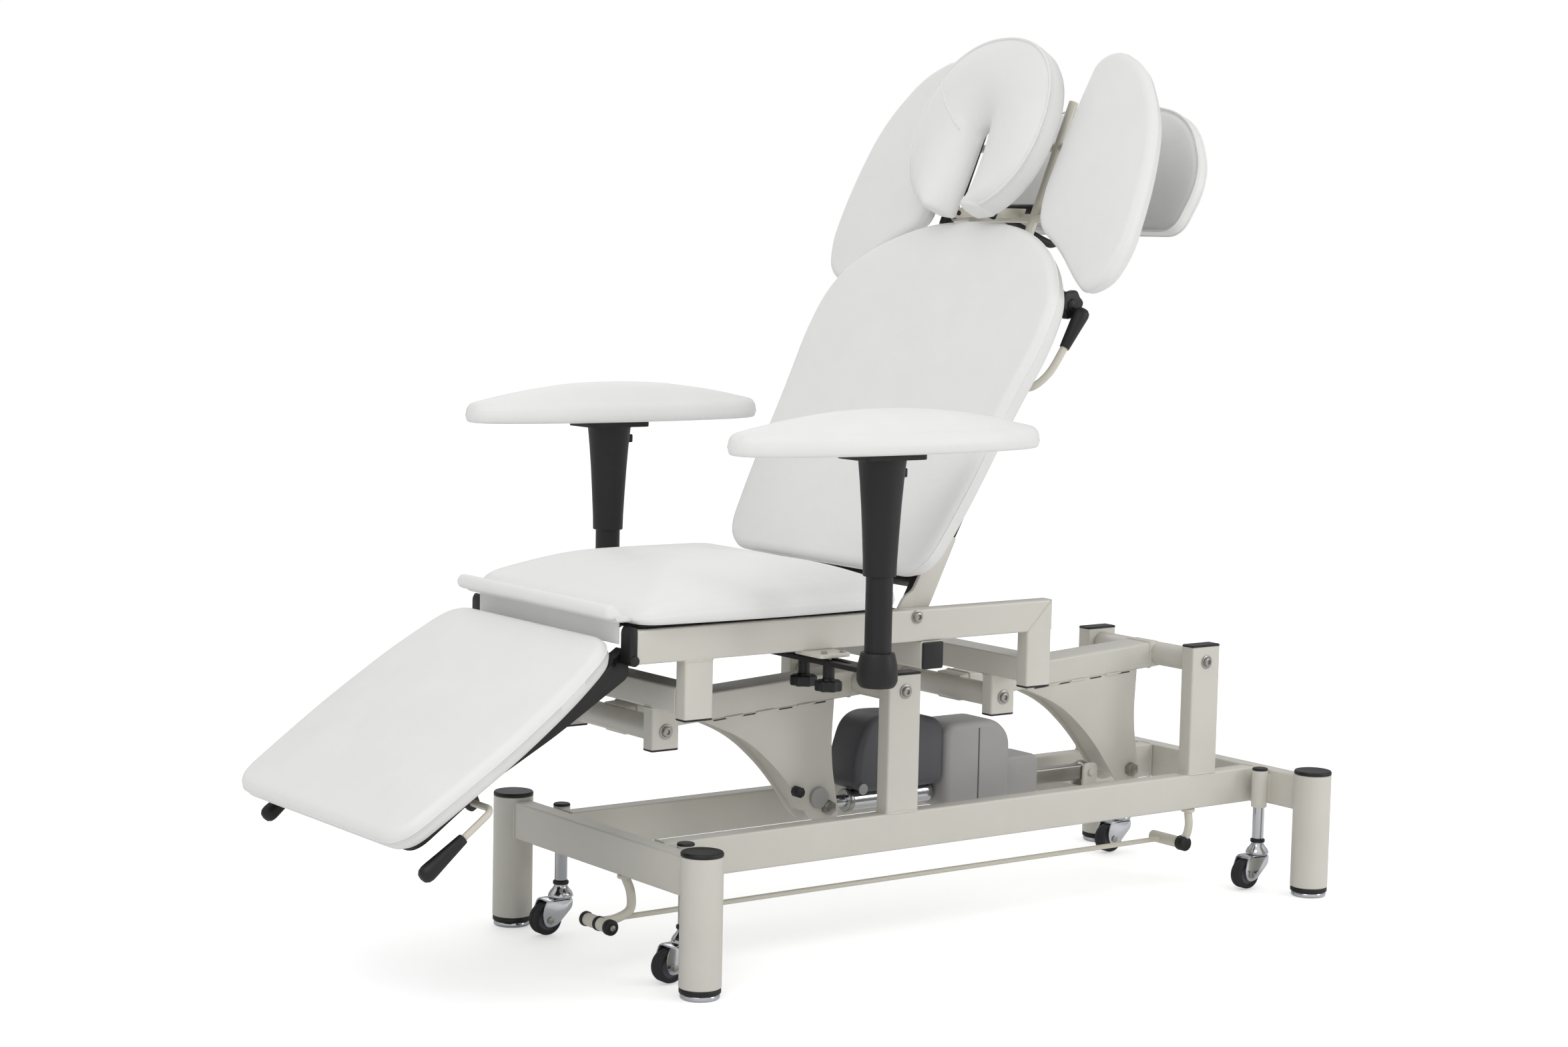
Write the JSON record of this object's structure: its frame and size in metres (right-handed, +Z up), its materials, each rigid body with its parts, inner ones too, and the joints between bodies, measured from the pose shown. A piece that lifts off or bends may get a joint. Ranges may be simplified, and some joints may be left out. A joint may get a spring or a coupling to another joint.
{
  "type": "treatment couch",
  "caption": "Powered treatment couch on a steel base: parallelogram lift, drop leg section, reclining back, face cushion with side wings, arm shelf and two swivel armrests.",
  "frame": {"origin": "middle of the object's footprint box, on the floor", "axes": "+X from the leg section towards the head section, +Y across the couch to its far side, +Z up"},
  "size_m": [1.7973, 0.882, 1.4302],
  "materials": {
    "powder_coat": "satin",
    "white_vinyl": "satin",
    "black_steel": "satin",
    "black_plastic": "matte",
    "chrome_steel": "polished",
    "wheel_rubber": "matte",
    "grey_plastic": "matte",
    "dark_plastic": "matte"
  },
  "bodies": {
    "base": {"foot_end_frame": "powder_coat", "head_end_frame": "powder_coat", "side_rail_near": "powder_coat", "side_rail_far": "powder_coat", "actuator_anchor": "powder_coat"},
    "levelling_foot_foot_near": {"levelling_foot_foot_near": "chrome_steel"},
    "caster_fork_foot_near": {"caster_fork_foot_near": "chrome_steel"},
    "caster_wheel_foot_near": {"caster_wheel_foot_near": "wheel_rubber"},
    "levelling_foot_foot_far": {"levelling_foot_foot_far": "chrome_steel"},
    "caster_fork_foot_far": {"caster_fork_foot_far": "chrome_steel"},
    "caster_wheel_foot_far": {"caster_wheel_foot_far": "wheel_rubber"},
    "levelling_foot_head_near": {"levelling_foot_head_near": "chrome_steel"},
    "caster_fork_head_near": {"caster_fork_head_near": "chrome_steel"},
    "caster_wheel_head_near": {"caster_wheel_head_near": "wheel_rubber"},
    "levelling_foot_head_far": {"levelling_foot_head_far": "chrome_steel"},
    "caster_fork_head_far": {"caster_fork_head_far": "chrome_steel"},
    "caster_wheel_head_far": {"caster_wheel_head_far": "wheel_rubber"},
    "lift_arm_foot": {"lift_arm_foot": "powder_coat"},
    "lift_arm_head": {"lift_arm_head": "powder_coat"},
    "seat": {"seat_cross_foot": "powder_coat", "seat_cross_head": "powder_coat", "seat_cross_middle": "powder_coat", "seat_rail_near": "powder_coat", "seat_rail_far": "powder_coat", "seat_board": "black_steel", "seat_cushion": "white_vinyl", "hinge_cover": "white_vinyl"},
    "actuator_body": {"actuator_gearbox": "grey_plastic", "actuator_housing": "dark_plastic", "actuator_tube": "chrome_steel"},
    "actuator_rod": {"actuator_rod": "chrome_steel"},
    "foot_control_bar": {"foot_control_bar": "powder_coat"},
    "leg_section": {"leg_frame": "black_steel", "leg_cushion": "white_vinyl"},
    "leg_release_lever": {"leg_release_lever": "powder_coat"},
    "backrest": {"back_frame": "black_steel", "back_cushion": "white_vinyl"},
    "back_release_lever": {"back_release_lever": "powder_coat"},
    "gas_spring_barrel": {"gas_spring_barrel": "black_plastic"},
    "gas_spring_rod": {"gas_spring_rod": "chrome_steel"},
    "head_section": {"head_frame": "powder_coat"},
    "head_clamp_knob": {"head_clamp_knob": "black_plastic"},
    "face_rest": {"face_cushion": "white_vinyl", "face_bracket": "black_plastic"},
    "wing_near": {"wing_near": "white_vinyl"},
    "wing_far": {"wing_far": "white_vinyl"},
    "arm_shelf": {"shelf_pad": "white_vinyl", "shelf_bracket": "black_steel"},
    "armrest_bar_near": {"armrest_bar_near": "black_steel"},
    "armrest_sleeve_near": {"armrest_sleeve_near": "black_plastic"},
    "armrest_button_near": {"armrest_button_near": "black_plastic"},
    "armrest_pad_near": {"armrest_pad_near": "white_vinyl"},
    "armrest_knob_inner_near": {"armrest_knob_inner_near": "black_plastic"},
    "armrest_knob_outer_near": {"armrest_knob_outer_near": "black_plastic"},
    "armrest_bar_far": {"armrest_bar_far": "black_steel"},
    "armrest_sleeve_far": {"armrest_sleeve_far": "black_plastic"},
    "armrest_button_far": {"armrest_button_far": "black_plastic"},
    "armrest_pad_far": {"armrest_pad_far": "white_vinyl"},
    "armrest_knob_inner_far": {"armrest_knob_inner_far": "black_plastic"},
    "armrest_knob_outer_far": {"armrest_knob_outer_far": "black_plastic"}
  },
  "joints": [
    {"name": "level_foot_near", "type": "hinge", "parent": "base", "child": "levelling_foot_foot_near", "pos_m": [-0.4031, -0.265, 0], "axis": [0, 0, 1], "continuous": true},
    {"name": "caster_swivel_foot_near", "type": "hinge", "parent": "base", "child": "caster_fork_foot_near", "pos_m": [-0.3694, -0.1735, 0], "axis": [0, 0, 1], "continuous": true},
    {"name": "caster_roll_foot_near", "type": "hinge", "parent": "caster_fork_foot_near", "child": "caster_wheel_foot_near", "pos_m": [-0.3974, -0.1735, 0.0265], "axis": [0, 1, 0], "continuous": true},
    {"name": "level_foot_far", "type": "hinge", "parent": "base", "child": "levelling_foot_foot_far", "pos_m": [-0.4031, 0.265, 0], "axis": [0, 0, 1], "continuous": true},
    {"name": "caster_swivel_foot_far", "type": "hinge", "parent": "base", "child": "caster_fork_foot_far", "pos_m": [-0.3694, 0.1735, 0], "axis": [0, 0, 1], "continuous": true},
    {"name": "caster_roll_foot_far", "type": "hinge", "parent": "caster_fork_foot_far", "child": "caster_wheel_foot_far", "pos_m": [-0.3974, 0.1735, 0.0265], "axis": [0, 1, 0], "continuous": true},
    {"name": "level_head_near", "type": "hinge", "parent": "base", "child": "levelling_foot_head_near", "pos_m": [0.8669, -0.265, 0], "axis": [0, 0, 1], "continuous": true},
    {"name": "caster_swivel_head_near", "type": "hinge", "parent": "base", "child": "caster_fork_head_near", "pos_m": [0.8332, -0.1735, 0], "axis": [0, 0, 1], "continuous": true},
    {"name": "caster_roll_head_near", "type": "hinge", "parent": "caster_fork_head_near", "child": "caster_wheel_head_near", "pos_m": [0.8052, -0.1735, 0.0265], "axis": [0, 1, 0], "continuous": true},
    {"name": "level_head_far", "type": "hinge", "parent": "base", "child": "levelling_foot_head_far", "pos_m": [0.8669, 0.265, 0], "axis": [0, 0, 1], "continuous": true},
    {"name": "caster_swivel_head_far", "type": "hinge", "parent": "base", "child": "caster_fork_head_far", "pos_m": [0.8332, 0.1735, 0], "axis": [0, 0, 1], "continuous": true},
    {"name": "caster_roll_head_far", "type": "hinge", "parent": "caster_fork_head_far", "child": "caster_wheel_head_far", "pos_m": [0.8052, 0.1735, 0.0265], "axis": [0, 1, 0], "continuous": true},
    {"name": "lift", "type": "hinge", "parent": "base", "child": "lift_arm_foot", "pos_m": [0.0644, 0, 0.398], "axis": [0, 1, 0], "range_deg": [0, 24]},
    {"name": "lift_arm_head_turn", "type": "hinge", "parent": "base", "child": "lift_arm_head", "pos_m": [0.7224, 0, 0.398], "axis": [0, 1, 0], "range_deg": [0, 24]},
    {"name": "seat_level", "type": "hinge", "parent": "lift_arm_foot", "child": "seat", "pos_m": [-0.38482, 0, 0.37155], "axis": [0, 1, 0], "range_deg": [-24, 0]},
    {"name": "actuator_tilt", "type": "hinge", "parent": "base", "child": "actuator_body", "pos_m": [0.5819, 0, 0.2], "axis": [0, 1, 0], "range_deg": [0, 3.7]},
    {"name": "actuator_stroke", "type": "slide", "parent": "actuator_body", "child": "actuator_rod", "axis": [-1, 0, 0], "range_m": [0, 0.078]},
    {"name": "foot_bar_press", "type": "hinge", "parent": "base", "child": "foot_control_bar", "pos_m": [0.0969, -0.062, 0.141], "axis": [1, 0, 0], "range_deg": [0, 6], "stiffness_Nm_per_rad": 60, "springref_deg": -8.59},
    {"name": "leg_hinge", "type": "hinge", "parent": "seat", "child": "leg_section", "pos_m": [-0.49892, 0, 0.4959], "axis": [0, 1, 0], "range_deg": [-28, 34]},
    {"name": "leg_lever_pull", "type": "hinge", "parent": "leg_section", "child": "leg_release_lever", "pos_m": [-0.73994, 0, 0.30793], "axis": [0, 1, 0], "range_deg": [0, 8], "stiffness_Nm_per_rad": 20, "springref_deg": -5.73},
    {"name": "back_hinge", "type": "hinge", "parent": "seat", "child": "backrest", "pos_m": [0.0195, 0, 0.5285], "axis": [0, 1, 0], "range_deg": [-10, 61]},
    {"name": "back_lever_pull", "type": "hinge", "parent": "backrest", "child": "back_release_lever", "pos_m": [0.2348, 0, 0.87565], "axis": [0, 1, 0], "range_deg": [0, 12], "stiffness_Nm_per_rad": 10, "springref_deg": -5.73},
    {"name": "gas_spring_tilt", "type": "hinge", "parent": "seat", "child": "gas_spring_barrel", "pos_m": [0.1019, 0, 0.45], "axis": [0, 1, 0], "range_deg": [-10.5, 60.5]},
    {"name": "gas_spring_stroke", "type": "slide", "parent": "gas_spring_barrel", "child": "gas_spring_rod", "axis": [0.2857, 0, 0.9583], "range_m": [-0.118, 0.022]},
    {"name": "head_tilt", "type": "hinge", "parent": "backrest", "child": "head_section", "pos_m": [0.30849, 0, 1.00859], "axis": [0, 1, 0], "range_deg": [0, 20]},
    {"name": "head_knob_turn", "type": "hinge", "parent": "backrest", "child": "head_clamp_knob", "pos_m": [0.30849, -0.224, 1.00859], "axis": [0, -1, 0], "range_deg": [-90, 90]},
    {"name": "face_tilt", "type": "hinge", "parent": "head_section", "child": "face_rest", "pos_m": [0.29851, 0, 1.14651], "axis": [0, -1, 0], "range_deg": [0, 25]},
    {"name": "wing_near_fold", "type": "hinge", "parent": "head_section", "child": "wing_near", "pos_m": [0.38225, -0.14, 1.19451], "axis": [0.3827, 0, 0.9239], "range_deg": [0, 35]},
    {"name": "wing_far_fold", "type": "hinge", "parent": "head_section", "child": "wing_far", "pos_m": [0.38225, 0.14, 1.19451], "axis": [-0.3827, 0, -0.9239], "range_deg": [0, 35]},
    {"name": "shelf_tilt", "type": "hinge", "parent": "head_section", "child": "arm_shelf", "pos_m": [0.39648, 0, 1.15831], "axis": [0, 1, 0], "range_deg": [-20, 0]},
    {"name": "armrest_width_near", "type": "slide", "parent": "seat", "child": "armrest_bar_near", "axis": [0, -1, 0], "range_m": [0, 0.06]},
    {"name": "armrest_height_near", "type": "slide", "parent": "armrest_bar_near", "child": "armrest_sleeve_near", "axis": [0, 0, 1], "range_m": [-0.05, 0.05]},
    {"name": "armrest_swivel_near", "type": "hinge", "parent": "armrest_sleeve_near", "child": "armrest_pad_near", "pos_m": [-0.1671, -0.365, 0.79], "axis": [0, 0, 1], "range_deg": [-40, 0]},
    {"name": "armrest_button_near_press", "type": "slide", "parent": "armrest_sleeve_near", "child": "armrest_button_near", "axis": [-1, 0, 0], "range_m": [0, 0.0012], "stiffness_N_per_m": 300, "springref_m": -0.002},
    {"name": "armrest_knob_inner_near_turn", "type": "hinge", "parent": "seat", "child": "armrest_knob_inner_near", "pos_m": [-0.1671, -0.186, 0.4315], "axis": [0, 0, 1], "continuous": true},
    {"name": "armrest_knob_outer_near_turn", "type": "hinge", "parent": "seat", "child": "armrest_knob_outer_near", "pos_m": [-0.1671, -0.248, 0.4315], "axis": [0, 0, 1], "continuous": true},
    {"name": "armrest_width_far", "type": "slide", "parent": "seat", "child": "armrest_bar_far", "axis": [0, 1, 0], "range_m": [0, 0.06]},
    {"name": "armrest_height_far", "type": "slide", "parent": "armrest_bar_far", "child": "armrest_sleeve_far", "axis": [0, 0, 1], "range_m": [-0.05, 0.05]},
    {"name": "armrest_swivel_far", "type": "hinge", "parent": "armrest_sleeve_far", "child": "armrest_pad_far", "pos_m": [-0.1671, 0.365, 0.79], "axis": [0, 0, 1], "range_deg": [0, 40]},
    {"name": "armrest_button_far_press", "type": "slide", "parent": "armrest_sleeve_far", "child": "armrest_button_far", "axis": [-1, 0, 0], "range_m": [0, 0.0012], "stiffness_N_per_m": 300, "springref_m": -0.002},
    {"name": "armrest_knob_inner_far_turn", "type": "hinge", "parent": "seat", "child": "armrest_knob_inner_far", "pos_m": [-0.1671, 0.186, 0.4315], "axis": [0, 0, 1], "continuous": true},
    {"name": "armrest_knob_outer_far_turn", "type": "hinge", "parent": "seat", "child": "armrest_knob_outer_far", "pos_m": [-0.1671, 0.248, 0.4315], "axis": [0, 0, 1], "continuous": true}
  ],
  "couplings": [
    {"joint": "lift_arm_head_turn", "follows": "lift", "ratio": 1},
    {"joint": "seat_level", "follows": "lift", "ratio": -1},
    {"joint": "actuator_tilt", "follows": "lift", "ratio": 0.15},
    {"joint": "actuator_stroke", "follows": "lift", "m_per_rad": 0.1832},
    {"joint": "gas_spring_tilt", "follows": "back_hinge", "ratio": 0.98},
    {"joint": "gas_spring_stroke", "follows": "back_hinge", "m_per_rad": -0.1085}
  ]
}
